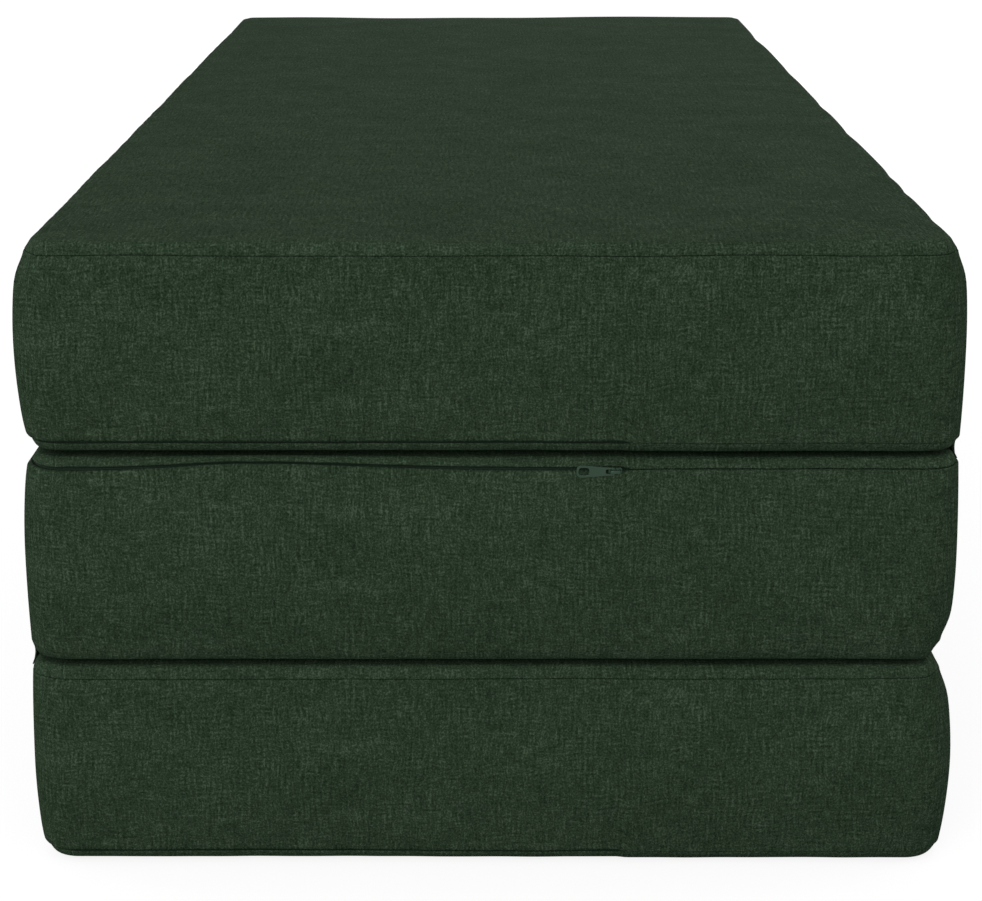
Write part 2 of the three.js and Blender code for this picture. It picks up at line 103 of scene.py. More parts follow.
# Sewing, cloth and what lies under it
CLOTH_THICKNESS = 0.9 * MM
SOCK_THICKNESS = 0.8 * MM
TAPE_THICKNESS = 0.6 * MM
SOCK_DEPTH = 2.1 * MM
FOAM_DEPTH = 3.4 * MM
FOAM_GAP = 0.4 * MM
FLAP_ROOM = 2.4 * MM
LIP_RADIUS = 1.1 * MM
ZIP_LIP_RADIUS = 3.2 * MM
LIP_DEPTH = 3.9 * MM
SEAM_HALF_GAP = 0.02 * MM
ZIP_HALF_GAP = 0.75 * MM
ZIP_DEPTH = 3.9 * MM
COIL_PITCH = 2 * MM
SLIDER_X = 86 * MM
ZIP_RUN = 370 * MM

# Lengths of the waves in the cloth, from broad swells to the puckers at a seam
BROAD_WAVES = np.array([330, 210, 150, 120, 95]) * MM
FINE_WAVES = np.array([62, 47, 38, 33]) * MM
PUCKER_WAVES = np.array([23, 17, 13.5, 29]) * MM
ZIP_WAVES = np.array([410, 260, 180]) * MM
SEAM_WAVES = np.array([300, 190, 120]) * MM
FACE_WAVES = np.array([520, 380, 250, 190]) * MM
TUCK_WAVES = np.array([160, 90, 55, 38]) * MM

# How far the swell and the waves move the cloth
SWELL = 1.1 * MM
BROAD_PUSH = 0.9 * MM
FINE_PUSH = 0.25 * MM
PUCKER_PUSH = 0.28 * MM
ZIP_WANDER = 0.5 * MM
SEAM_WANDER = 0.45 * MM
FACE_WANDER = 0.8 * MM
TUCK = 0.6 * MM

# Pattern of the linen: one pair of yarns, and how far and over what length the weave wavers
YARN_PAIR = 4.2 * MM
WAVER = 7 * MM
WAVER_LENGTH = 34 * MM

# How far the side walls are drawn in at the face seam, and lean in above it, and how far the
# middle panel's zip line climbs, and where
SIDE_DRAW_IN = 4.4 * MM
SIDE_RIM_LEAN = 0.45
ZIP_CLIMB = 5.6 * MM
ZIP_CLIMB_X = -168 * MM

# Nicks in the top panel's right rim: place along the wall, depth and width, in millimetres
RIM_NICKS = [
    (-647, 1.2, 22),
    (-530, 1.6, 22),
    (-461, 1.4, 24),
    (-232, 1.4, 34),
    (-64, 1.8, 40),
    (180, 1.2, 50),
    (492, 2.2, 60),
]

# Camera: how far it stands in front of the stack and above its top
IMAGE_WIDTH = 982
CAMERA_FOCAL_PIXELS = 2345
CAMERA_PITCH = math.radians(12.92)
CAMERA_DISTANCE = 1.55
CAMERA_RISE = 0.313
CAMERA_SHIFT = -0.15
SENSOR_WIDTH = 36
LAMP_SIZE = 2.4

# Which way up each panel lies, its storey, on which walls it is folded against a neighbour, and
# how far round the rim its face seam has crept, in degrees
PANELS = {
    "bottom": dict(storey=0, turned=False, fold_left=True, fold_right=False, seam_turn=0),
    "middle": dict(storey=1, turned=True, fold_left=True, fold_right=True, seam_turn=50),
    "top": dict(storey=2, turned=False, fold_left=False, fold_right=True, seam_turn=0),
}


def make_camera():
    """Camera on the stack's middle plane, pitched down, with a part of the photograph's shift."""
    data = bpy.data.cameras.new("camera")
    data.sensor_width = SENSOR_WIDTH
    data.lens = CAMERA_FOCAL_PIXELS * SENSOR_WIDTH / IMAGE_WIDTH
    data.shift_y = CAMERA_SHIFT
    camera = bpy.data.objects.new("camera", data)
    camera.location = (0, -HALF_LENGTH - CAMERA_DISTANCE, cad_high.z + CAMERA_RISE)
    camera.rotation_euler = (math.pi / 2 - CAMERA_PITCH, 0, 0)
    bpy.context.scene.collection.objects.link(camera)
    bpy.context.scene.camera = camera


class Outline:
    """Places on the outline of a panel, counter-clockwise from the middle of the back wall.

    Each place has anchor shares (ax, ay) of the straight half walls and an outward normal
    (nx, ny). Along a wall a share runs between -1 and 1, and round a corner the normal turns by
    a quarter. A place lies at its share of the straight half wall plus its normal times the
    corner's radius.
    """

    def __init__(self, front_step, side_step, corner_count):
        straight_x = HALF_WIDTH - CORNER_RADIUS
        straight_y = HALF_LENGTH - CORNER_RADIUS
        half_front = round(straight_x / front_step)
        self.side_count = round(2 * straight_y / side_step)

        def wall(start, end, count, normal):
            """Places along a wall, from one anchor up to the next."""
            share = np.linspace(0, 1, count, endpoint=False)[:, None]
            anchors = np.array(start) + share * (np.array(end) - np.array(start))
            return np.hstack([anchors, np.tile(normal, (count, 1))])

        def corner(anchor, start_angle):
            """Places round a corner, through a quarter turn from an angle in degrees."""
            quarter = np.linspace(0, math.pi / 2, corner_count, endpoint=False)
            angle = math.radians(start_angle) + quarter
            return np.column_stack(
                [np.tile(anchor, (corner_count, 1)), np.cos(angle), np.sin(angle)]
            )

        parts = [
            wall((0, 1), (-1, 1), half_front, (0, 1)),
            corner((-1, 1), 90),
            wall((-1, 1), (-1, -1), self.side_count, (-1, 0)),
            corner((-1, -1), 180),
            wall((-1, -1), (1, -1), 2 * half_front, (0, -1)),
            corner((1, -1), 270),
            wall((1, -1), (1, 1), self.side_count, (1, 0)),
            corner((1, 1), 0),
            wall((1, 1), (0, 1), half_front, (0, 1)),
        ]
        self.left_start = half_front + corner_count
        self.set_places(np.vstack(parts))

    def set_places(self, places):
        """Keeps the places and works out the arc length along the widest line."""
        self.places = places
        self.ax, self.ay, self.nx, self.ny = places.T
        self.count = len(places)
        self.x, self.y = self.at(np.zeros(self.count))
        steps = np.hypot(np.diff(self.x, append=self.x[0]), np.diff(self.y, append=self.y[0]))
        self.arc = np.concatenate([[0], np.cumsum(steps)])

    def at(self, inset):
        """x and y at an inset: the corners tighten to their least radius as the inset grows."""
        radius = np.maximum(CORNER_RADIUS - inset, TIGHT_RADIUS)
        x = self.ax * (HALF_WIDTH - inset - radius) + self.nx * radius
        y = self.ay * (HALF_LENGTH - inset - radius) + self.ny * radius
        return x, y

    def resampled(self, arcs):
        """The same outline at other arc lengths, found between this outline's places."""
        made = object.__new__(Outline)
        whole, start = self.arc[-1], self.arc[:-1]
        values = [np.interp(arcs, start, column, period=whole) for column in self.places.T]
        values = np.column_stack(values)
        values[:, 2:] /= np.linalg.norm(values[:, 2:], axis=1, keepdims=True)
        made.set_places(values)
        return made


def waves(x, y, z, lengths, seed):
    """Smooth noise from about -1 to 1: one sine wave of each length, in a seeded direction."""
    random = np.random.default_rng(seed)
    total = 0
    for length in lengths:
        direction = random.normal(size=3)
        direction *= 2 * math.pi / length / np.linalg.norm(direction)
        along = x * direction[0] + y * direction[1] + z * direction[2]
        total = total + np.sin(along + random.uniform(0, 2 * math.pi))
    return total / math.sqrt(1.5 * len(lengths))


def hump(value, centre, width):
    """Bell curve of height 1 about a centre."""
    return np.exp(-(((value - centre) / width) ** 2))


def smooth(value, start, end):
    """0 before start, 1 after end, and a smooth step between them."""
    share = np.clip((value - start) / (end - start), 0, 1)
    return share * share * (3 - 2 * share)


def at_slider(outline, width):
    """1 where a slider stands at either end of its run, on the front and back walls."""
    ends = hump(outline.x, SLIDER_X, width) + hump(outline.x, SLIDER_X - ZIP_RUN, width)
    return ends * smooth(np.abs(outline.ny), 0.5, 0.9)


def stuffing_push(name, outline, inset, level):
    """How far the stuffing pushes a point outwards, in metres.

    Free walls swell by one minus the squared share of the half height, which is a little more
    than the CAD ones, and sums of sine waves ripple them. Walls at a fold stay within the CAD
    ones, so that open panels clear each other. Bell curves about the seams draw the side walls
    in and gather the cloth in short puckers, and smaller ones nick the top panel's right rim.
    The whole fades out over the flats, 16 mm in from the wall.
    """
    facts = PANELS[name]
    seed = 10 * facts["storey"]
    x, y = outline.x, outline.y
    at_fold = np.zeros(outline.count)
    if facts["fold_left"]:
        at_fold = np.maximum(at_fold, -outline.nx)
    if facts["fold_right"]:
        at_fold = np.maximum(at_fold, outline.nx)
    free = 1 - smooth(at_fold, 0.15, 0.85)
    share = np.clip((level - WALL_MIDDLE) / WALL_HALF, -1, 1)
    swell = 1 - share**2
    broad = waves(x, y, level, BROAD_WAVES, seed + 1)
    fine = waves(x, y, level * 0.4, FINE_WAVES, seed + 2)
    push = free * (SWELL * swell + BROAD_PUSH * broad * (0.35 + 0.65 * swell) + FINE_PUSH * fine)
    # A left fold joins two faces and a right one two bases: there the cloth stays up to the fold
    to_fold = np.where(outline.nx < 0, np.maximum(share, 0), np.maximum(-share, 0))
    held = (1 - free) * smooth(to_fold, 0, 0.6)
    push = push + (1 - free) * MM * (0.5 * (0.5 * broad - 0.5) * swell + 2.4 * to_fold**2)
    at_seam = hump(level, SEAM_LEVEL, 9 * MM) + hump(level, ZIP_LEVEL, 8 * MM)
    side_wall = smooth(np.abs(outline.nx), 0.3, 0.9)
    rims = hump(level, SEAM_LEVEL, 13 * MM) + 0.1 * hump(level, ZIP_LEVEL, 8 * MM)
    drawn = SIDE_DRAW_IN * rims + SIDE_RIM_LEAN * np.maximum(level - SEAM_LEVEL, 0)
    push = push - side_wall * (1 - held) * drawn
    pucker = waves(x, y, level * 0, PUCKER_WAVES, seed + 3)
    push = push + (0.1 + 0.9 * free) * PUCKER_PUSH * pucker * at_seam
    if name == "top":
        rim = smooth(level, SEAM_LEVEL - 35 * MM, SEAM_LEVEL) * np.maximum(outline.nx, 0)
        for place, depth, width in RIM_NICKS:
            push = push - rim * depth * MM * hump(y, place * MM, width * MM)
    push = push * (1 - 0.8 * at_slider(outline, 18 * MM) * hump(level, ZIP_LEVEL, 12 * MM))
    inner = np.maximum(inset - 16 * MM, 0)
    return push * np.exp(-((inner / (30 * MM)) ** 2))


def stuffing_lift(name, outline, inset, level):
    """How far a point of the cover moves along the panel's height, in metres.

    The zip line and the face seam wander by sums of sine waves, within bell curves about their
    levels. Along the front of the middle panel the zip line also climbs, by a bell curve between
    the two ends of the slider's run. The flat of the base and the plateau of the face stay where
    the CAD has them, apart from soft waves in the top panel's own face.
    """
    facts = PANELS[name]
    seed = 10 * facts["storey"] + 5
    x, y = outline.x, outline.y
    at_zip = np.exp(-(((level - ZIP_LEVEL) / (26 * MM)) ** 2)) * smooth(inset, 17 * MM, 5 * MM)
    front = smooth(-outline.ny, 0.3, 1)
    keep_slider = 1 - at_slider(outline, 24 * MM)
    wander = ZIP_WANDER * waves(x, y, level * 0, ZIP_WAVES, seed)
    if name == "middle":
        climb = ZIP_CLIMB * hump(x, ZIP_CLIMB_X, np.where(x < ZIP_CLIMB_X, 62, 120) * MM)
        wander = wander - front * climb
    wander = wander * at_zip * keep_slider
    at_seam = hump(level, SEAM_LEVEL, 12 * MM) * smooth(inset, 17 * MM, 5 * MM)
    wander = wander + SEAM_WANDER * at_seam * waves(x, y, level * 0, SEAM_WAVES, seed + 1)
    if name == "top":
        px, py = outline.at(inset)
        on_face = smooth(level, SEAM_LEVEL + 4 * MM, PANEL_HEIGHT - FACE_EDGE_DROP)
        wander = wander + on_face * FACE_WANDER * waves(px, py, 0 * px, FACE_WAVES, seed + 2)
    return wander


def placed(name, outline, inset, level):
    """Points of a panel from rows of insets and levels, pushed and lifted by the stuffing.

    A point lies on the outline at its inset less the push, at its level plus the lift. A turned
    panel has its levels counted down from its top, and each storey stands on the one below.
    """
    facts = PANELS[name]
    push = stuffing_push(name, outline, inset, level)
    lift = stuffing_lift(name, outline, inset, level)
    x, y = outline.at(inset - push)
    height = level + lift
    if facts["turned"]:
        height = PANEL_HEIGHT - height
    return np.stack([x, y, height + facts["storey"] * PANEL_PITCH], axis=-1)


def wall_inset(level):
    """Inset of the wall at a level: a parabola, widest half-way and drawn in at both seams."""
    return SEAM_DRAW_IN * ((level - WALL_MIDDLE) / WALL_HALF) ** 2


def rim_place(turn, rim):
    """Place on a rim at a turn from 0 to a quarter: how far in and how far up from its seam.

    Up is the height times a power of the sine. In is the reach times one less the same power of
    the cosine, and the lean times up.
    """
    reach, height, lean = rim
    up = height * np.sin(turn) ** RIM_POWER
    return reach * (1 - np.cos(turn) ** RIM_POWER) + lean * up, up


def rim_turn(up, rim):
    """The turn at which a rim has come a given way up."""
    return np.arcsin(np.clip(up / rim[1], 0, 1) ** (1 / RIM_POWER))


def past_zip(outline):
    """0 along the zip, and 1 where the zip line is a plain seam."""
    return smooth(outline.x, ZIP_END_X - ZIP_SLOT_TAPER, ZIP_END_X)


def lip_gap(outline):
    """Half gap between the lips over the zip line: widest at the slider, closed past the ends."""
    along_zip = ZIP_HALF_GAP + 0.4 * MM * at_slider(outline, 12 * MM)
    return along_zip + (SEAM_HALF_GAP - along_zip) * past_zip(outline)


def make_mesh(name, points, faces, uvs=None):
    """Mesh object from arrays of points and faces, smooth, with one UV pair for each corner."""
    mesh = bpy.data.meshes.new(name)
    mesh.from_pydata(points.tolist(), [], faces)
    mesh.polygons.foreach_set("use_smooth", np.ones(len(mesh.polygons), bool))
    if uvs is not None:
        layer = mesh.uv_layers.new(name="UVMap")
        layer.data.foreach_set("uv", np.asarray(uvs, np.float32).ravel())
    made = bpy.data.objects.new(name, mesh)
    bpy.context.scene.collection.objects.link(made)
    return made


def grid_faces(rows, columns, closed, flipped):
    """Corner numbers of a grid's quads, row by row, as (row, column) pairs with a wrapped column.

    Returns vertex numbers and, for the UVs, numbers in a grid that has one column more.
    """
    steps = columns if closed else columns - 1
    row, column = np.meshgrid(np.arange(rows - 1), np.arange(steps), indexing="ij")
    row, column = row.ravel(), column.ravel()
    corners = [(row, column), (row, column + 1), (row + 1, column + 1), (row + 1, column)]
    if flipped:
        corners = corners[::-1]
    vertices = np.stack([r * columns + c % columns for r, c in corners], axis=1)
    unwrapped = np.stack([r * (columns + 1) + c for r, c in corners], axis=1)
    return vertices, unwrapped


def band_sheet(name, panel, outline, rows, closed=True):
    """Band along the outline: a grid of the profile's rows by the outline's places.

    The UV runs along the outline and up the cloth, in metres.
    """
    inset, level = rows
    points = placed(panel, outline, inset, level)
    flipped = PANELS[panel]["turned"]
    vertices, unwrapped = grid_faces(len(inset), outline.count, closed, flipped)
    steps = np.hypot(np.diff(inset, axis=0), np.diff(level, axis=0)).mean(axis=1)
    up = np.concatenate([[0], np.cumsum(steps)])
    grid = np.stack(np.broadcast_arrays(outline.arc[None, :], up[:, None]), axis=-1)
    uvs = grid.reshape(-1, 2)[unwrapped.ravel()]
    return make_mesh(name, points.reshape(-1, 3), vertices.tolist(), uvs)


def spine_closing(outline, ring, spine):
    """Faces that join a ring of a panel to a spine down its middle: quads and two end fans."""
    side, count = outline.side_count, outline.count
    step = np.arange(side + 1)
    right_start = outline.left_start + side + (count - 2 * side) // 2
    left = ring + outline.left_start + step
    right = ring + (right_start + step) % count
    along, back = spine + step, spine + step[::-1]
    quads = [
        np.stack([left[:-1], left[1:], along[1:], along[:-1]], axis=1),
        np.stack([right[:-1], right[1:], back[1:], back[:-1]], axis=1),
    ]
    fans = []
    for start, end, hub in (
        (outline.left_start + side, right_start, along[-1]),
        (right_start + side, count + outline.left_start, along[0]),
    ):
        edge = ring + np.arange(start, end + 1) % count
        fans.append(np.stack([edge[:-1], edge[1:], np.full(len(edge) - 1, hub)], axis=1))
    return np.vstack(quads), np.vstack(fans)


def spine_points(outline, ring):
    """Points of the spine inside a ring, one for each place of the side walls."""
    y = np.linspace(1, -1, outline.side_count + 1) * ring[outline.left_start, 1]
    return np.stack([0 * y, y, 0 * y + ring[outline.left_start, 2]], axis=-1)


def disc_sheet(name, panel, outline, rows, flipped, closed_start=False):
    """Sheet from its lip in to a spine down the panel's middle, where it closes.

    With a closed start it also closes there, as a block of foam does. The UV is the place on the
    panel with the rim rolled out flat, in metres.
    """
    inset, level = rows
    count = outline.count
    grid = placed(panel, outline, inset, level)
    flipped = flipped != PANELS[panel]["turned"]
    points = [grid.reshape(-1, 3), spine_points(outline, grid[-1])]
    vertices, _ = grid_faces(len(inset), count, True, False)
    parts = [vertices, *spine_closing(outline, (len(inset) - 1) * count, grid.shape[0] * count)]
    if closed_start:
        points.append(spine_points(outline, grid[0]))
        second = grid.shape[0] * count + outline.side_count + 1
        parts += [part[:, ::-1] for part in spine_closing(outline, 0, second)]
    if flipped:
        parts = [part[:, ::-1] for part in parts]
    steps = np.hypot(np.diff(inset, axis=0), np.diff(level, axis=0)).mean(axis=1)
    to_last = np.cumsum(np.append(steps, 0)[::-1])[::-1]
    flat = outline.at((inset[-1].mean() - to_last)[:, None])
    plan = [np.stack(flat, axis=-1).reshape(-1, 2)] + [part[:, :2] for part in points[1:]]
    corners = np.concatenate([part.ravel() for part in parts])
    faces = [face for part in parts for face in part.tolist()]
    return make_mesh(name, np.vstack(points), faces, np.vstack(plan)[corners])


def stacked(outline, rows):
    """Profile rows as two arrays, inset and level, each of rows by columns."""
    wide = (1, outline.count)
    insets = np.vstack([np.broadcast_to(inset, wide) for inset, _ in rows])
    levels = np.vstack([np.broadcast_to(level, wide) for _, level in rows])
    return insets, levels


def lip(inset, level, side, radius=LIP_RADIUS, turn=0.0):
    """Rows of a lip, from its flap deep in the panel out to the wall, or to a rim at its turn.

    The lip is a quarter of a circle, sine inwards and cosine along the wall, and both are turned
    by the rim's own turn.
    """
    places = [(LIP_DEPTH, 0 * radius)]
    for angle in np.radians([0, 22.5, 45, 67.5, 90]):
        places.append((radius * (1 - np.sin(angle)), side * radius * (1 - np.cos(angle))))
    cos, sin = np.cos(turn), np.sin(turn)
    return [
        (inset + depth * cos + along * sin, level - depth * sin + along * cos)
        for depth, along in places
    ]


def band_rows(outline, seam_turn):
    """Cover band from the lip over the zip, up the wall and round the rim to the face seam.

    The wall's rows stand closer towards both seams, at one less the cosine of even turns.
    """
    gap, radius = lip_gap(outline), zip_lip(outline)
    low = ZIP_LEVEL + gap
    bottom = low + radius
    rows = lip(wall_inset(bottom), low, 1, radius)
    top = SEAM_LEVEL if seam_turn else SEAM_LEVEL - SEAM_HALF_GAP - LIP_RADIUS
    for share in (1 - np.cos(np.linspace(0, math.pi, 27)[1:-1])) / 2:
        level = bottom + share * (top - bottom)
        rows.append((wall_inset(level), level))
    if not seam_turn:
        return rows + lip(wall_inset(top), top + LIP_RADIUS, -1)[::-1]
    for turn in np.radians(np.linspace(0, seam_turn, 8)[:-1]):
        across, up = rim_place(turn, FACE_RIM)
        rows.append((SEAM_DRAW_IN + across, SEAM_LEVEL + up))
    across, up = rim_place(math.radians(seam_turn), FACE_RIM)
    place = (SEAM_DRAW_IN + across + 0 * gap, SEAM_LEVEL + up)
    return rows + lip(*place, -1, 0.4 * LIP_RADIUS, math.radians(60))[::-1]


def zip_lip(outline):
    """Radius of the band's lip over the zip line: large along the zip, small at a plain seam."""
    return ZIP_LIP_RADIUS + (LIP_RADIUS - ZIP_LIP_RADIUS) * past_zip(outline)


def base_place(outline, turn, depth=0.0):
    """Inset and level of the base rim at a turn, at a depth under the cloth."""
    across, up = rim_place(turn, BASE_RIM)
    recess = RIM_RECESS * (1 - (1 - PLAIN_RECESS_SHARE) * past_zip(outline))
    return SEAM_DRAW_IN + recess + across + depth, ZIP_LEVEL - up + depth * np.sin(turn)


def base_rows(outline):
    """Cover base from its lip under the zip, round the rim, down to the flat and in over it."""
    gap = lip_gap(outline)
    start = rim_turn(gap + LIP_RADIUS, BASE_RIM)
    rows = lip(base_place(outline, start)[0], ZIP_LEVEL - gap, -1)
    for share in np.linspace(0, 1, 13)[1:]:
        rows.append(base_place(outline, start + share * (math.pi / 2 - start)))
    edge = rows[-1][0]
    for share in np.linspace(0, 1, 8)[1:]:
        rows.append((edge + 50 * MM * share, BASE_EDGE_RISE * (1 - smooth(share, 0, 1)) + 0 * gap))
    for inset in np.linspace(90, 300, 6) * MM:
        rows.append((inset, 0 * gap))
    return rows


def face_rows(seam_turn):
    """Cover face from its lip over the seam, round the rim, up the crown and in to the plateau.

    The crown rises from the rim's edge by a parabola that is level where the plateau starts.
    """
    if seam_turn:
        start = math.radians(seam_turn + 4)
        across, up = rim_place(math.radians(seam_turn), FACE_RIM)
        place = (SEAM_DRAW_IN + across, SEAM_LEVEL + up)
        rows = lip(*place, 1, 0.4 * LIP_RADIUS, math.radians(60))
    else:
        start = rim_turn(SEAM_HALF_GAP + LIP_RADIUS, FACE_RIM)
        across = rim_place(start, FACE_RIM)[0]
        rows = lip(SEAM_DRAW_IN + across, SEAM_LEVEL + SEAM_HALF_GAP, 1)
    for share in np.linspace(0, 1, 13)[1:]:
        across, up = rim_place(start + share * (math.pi / 2 - start), FACE_RIM)
        rows.append((SEAM_DRAW_IN + across, SEAM_LEVEL + up))
    edge = rows[-1][0]
    for share in np.linspace(0, 1, 13)[1:]:
        rows.append((edge + share * CROWN_RUN, PANEL_HEIGHT - FACE_EDGE_DROP * (1 - share) ** 2))
    for inset in np.linspace(130, 300, 7) * MM:
        rows.append((inset, PANEL_HEIGHT))
    return rows


def add_solidify(made, thickness):
    """Real thickness, to the inside of the sheet."""
    modifier = made.modifiers.new("thickness", "SOLIDIFY")
    modifier.thickness = thickness
    modifier.offset = -1


def node(tree, kind, inputs=(), **settings):
    """Adds a shader node: settings are its properties, inputs are values or sockets to link.

    Inputs are a dict by name, or a list in the order of the node's sockets.
    """
    made = tree.nodes.new(kind)
    for key, value in settings.items():
        setattr(made, key, value)
    for key, value in inputs.items() if isinstance(inputs, dict) else enumerate(inputs):
        if isinstance(value, bpy.types.NodeSocket):
            tree.links.new(value, made.inputs[key])
        else:
            made.inputs[key].default_value = value
    return made


def linear(code):
    """Linear colour with alpha from an sRGB hex code."""
    shares = [int(code[i : i + 2], 16) / 255 for i in (1, 3, 5)]
    values = [s / 12.92 if s <= 0.04045 else ((s + 0.055) / 1.055) ** 2.4 for s in shares]
    return (*values, 1)


def new_material(name):
    """Empty node material with its output node."""
    made = bpy.data.materials.new(name)
    made.use_nodes = True
    made.node_tree.nodes.clear()
    output = node(made.node_tree, "ShaderNodeOutputMaterial")
    return made, made.node_tree, output


def add_surface(tree, output, colour, height, relief, look):
    """Principled surface: a colour, a bump from a height by its strength and depth, and a look."""
    strength, depth = relief
    bump = node(tree, "ShaderNodeBump", {"Height": height, "Strength": strength, "Distance": depth})
    inputs = {"Base Color": colour, "Normal": bump.outputs[0], **look}
    shader = node(tree, "ShaderNodeBsdfPrincipled", inputs)
    tree.links.new(shader.outputs[0], output.inputs["Surface"])


def linen_material():
    """Woven polyester linen in heathered dark green: matt, with light and dark yarns mingled.

    The tone is a weighted sum of noises, each with a size across and along in millimetres of
    cloth, and of two sine waves for the ribs. A ramp turns it to colour and a faint bump follows
    it. Real yarns are about half a millimetre wide, too fine to show in the render, so they are
    drawn some three times as wide.
    """
    made, tree, output = new_material("heathered_green_linen")
    place = node(tree, "ShaderNodeUVMap", uv_map="UVMap").outputs["UV"]

    def streaks(across, along, low, high, detail=2.0):
        """Noise with features of a size in millimetres, stretched to 0 to 1."""
        size = (1 / (across * MM), 1 / (along * MM), 0)
        sized = node(tree, "ShaderNodeVectorMath", [cloth, size], operation="MULTIPLY")
        noise = node(
            tree,
            "ShaderNodeTexNoise",
            {"Vector": sized.outputs[0], "Scale": 1.0, "Detail": detail, "Roughness": 0.6},
            noise_dimensions="2D",
        )
        stretch = {"Value": noise.outputs["Fac"], "From Min": low, "From Max": high}
        return node(tree, "ShaderNodeMapRange", stretch).outputs[0]

    def ribs(direction):
        """Sine wave of one pair of yarns along a direction, where the weave shows clearly."""
        along = node(tree, "ShaderNodeVectorMath", [cloth, direction], operation="DOT_PRODUCT")
        turn = [along.outputs[1], 2 * math.pi / YARN_PAIR]
        turned = node(tree, "ShaderNodeMath", turn, operation="MULTIPLY").outputs[0]
        wave = node(tree, "ShaderNodeMath", [turned], operation="SINE").outputs[0]
        return node(tree, "ShaderNodeMath", [wave, clear], operation="MULTIPLY").outputs[0]

    # The weave wavers by a millimetre or two over some centimetres
    size = (1 / WAVER_LENGTH,) * 3
    sized = node(tree, "ShaderNodeVectorMath", [place, size], operation="MULTIPLY")
    waver = node(
        tree,
        "ShaderNodeTexNoise",
        {"Vector": sized.outputs[0], "Scale": 1.0, "Detail": 1.0, "Roughness": 0.6},
        noise_dimensions="2D",
    )
    centred = [waver.outputs["Color"], (0.5,) * 3]
    centred = node(tree, "ShaderNodeVectorMath", centred, operation="SUBTRACT")
    moved = [centred.outputs[0], (WAVER,) * 3, place]
    cloth = node(tree, "ShaderNodeVectorMath", moved, operation="MULTIPLY_ADD").outputs[0]
    # Warp streaks, weft streaks, and a soft chequer that decides which of the two lies on top
    threads = node(
        tree,
        "ShaderNodeMix",
        {
            "Factor": streaks(4.5, 3.5, 0.4, 0.66, 1.0),
            "A": streaks(1.9, 13, 0.28, 0.74, 3.0),
            "B": streaks(12, 2, 0.28, 0.74, 3.0),
        },
    ).outputs["Result"]
    clear = streaks(24, 30, 0.35, 0.65, 2.0)
    tone = 0.0
    for pattern, share in (
        (threads, 0.46),
        # Single yarns where they come to the top
        (streaks(1.3, 1.4, 0.25, 0.75, 1.0), 0.5),
        # Slubs, which are thicker light stretches of a yarn
        (streaks(1.6, 20, 0.6, 0.84, 1.0), 0.18),
        # Clouds in the dye and in how dense the weave is
        (streaks(12, 9, 0.3, 0.7, 2.0), 0.09),
        (streaks(75, 50, 0.3, 0.7, 2.0), 0.09),
        (ribs((1, 0, 0)), 0.06),
        (ribs((-0.07, 1, 0)), 0.06),
    ):
        added = [pattern, share, tone]
        tone = node(tree, "ShaderNodeMath", added, operation="MULTIPLY_ADD").outputs[0]
    ramp = node(tree, "ShaderNodeValToRGB", {"Fac": tone})
    stops = ramp.color_ramp.elements
    stops[0].position, stops[0].color = 0.22, linear("#182518")
    stops[1].position, stops[1].color = 1.0, linear("#445343")
    middle = stops.new(0.64)
    middle.color = linear("#2b3a2b")
    # Patches a trace warmer than the rest
    tint = node(
        tree,
        "ShaderNodeMix",
        {"Factor": streaks(52, 30, 0.35, 0.7, 3.0), "A": linear("#f4f4f4"), "B": linear("#f5f5f1")},
        data_type="RGBA",
    )
    colour = node(
        tree,
        "ShaderNodeMix",
        {"Factor": 1.0, "A": ramp.outputs["Color"], "B": tint.outputs[2]},
        data_type="RGBA",
        blend_type="MULTIPLY",
    )
    # The fibres scatter nearly all of the light, so there is next to no shine
    look = {"Roughness": 1.0, "Specular IOR Level": 0.01}
    add_surface(tree, output, colour.outputs[2], tone, (0.35, 0.5 * MM), look)
    return made


def plain_material(name, shades, size, depth, roughness, shine=0.5, stretch=(1, 1, 1)):
    """Material of one substance: two shades in a noise of a real size, with matching bump."""
    made, tree, output = new_material(name)
    place = node(tree, "ShaderNodeTexCoord").outputs["Object"]
    scale = [share / size for share in stretch]
    sized = node(tree, "ShaderNodeMapping", {"Vector": place, "Scale": scale})
    inputs = {"Vector": sized.outputs[0], "Scale": 1.0, "Detail": 3.0}
    noise = node(tree, "ShaderNodeTexNoise", inputs).outputs["Fac"]
    inputs = {"Factor": noise, "A": linear(shades[0]), "B": linear(shades[1])}
    shade = node(tree, "ShaderNodeMix", inputs, data_type="RGBA").outputs[2]
    look = {"Roughness": roughness, "Specular IOR Level": shine}
    add_surface(tree, output, shade, noise, (0.6, depth), look)
    return made


LINEN = linen_material()

# Woven polyester tape of the zip: matt, with a fine weave; its own dark green is darkened nearly to
# black as painted shade of the zip's gap
TAPE = plain_material(
    "polyester_zip_tape", ("#101a12", "#1b281d"), 0.9 * MM, 0.2 * MM, roughness=0.9, shine=0.05
)
# Extruded polyester coil of the zip: smooth, with a low shine on each turn; its own dark green is
# darkened nearly to black as painted shade of the zip's gap
COIL = plain_material(
    "polyester_zip_coil", ("#121e14", "#1d2d20"), 6 * MM, 0.02 * MM, roughness=0.5, shine=0.1
)
# Die-cast zinc under baked green enamel: an even colour, with a soft shine on the edges
ENAMEL = plain_material(
    "green_enamel_on_zinc", ("#1e3325", "#263d2c"), 9 * MM, 0.03 * MM, roughness=0.3, shine=0.22
)
# Knitted fire-barrier sock: off-white and matt, with its stitches in low courses
SOCK = plain_material(
    "knitted_white_sock",
    ("#d8d6cd", "#f0efe8"),
    1.6 * MM,
    0.4 * MM,
    roughness=0.95,
    stretch=(1, 1, 3),
)
# Moulded memory foam: nearly white, with fine open cells
COMFORT = plain_material(
    "memory_foam", ("#dfe3e1", "#f0f2f1"), 2.2 * MM, 0.4 * MM, roughness=0.9
)
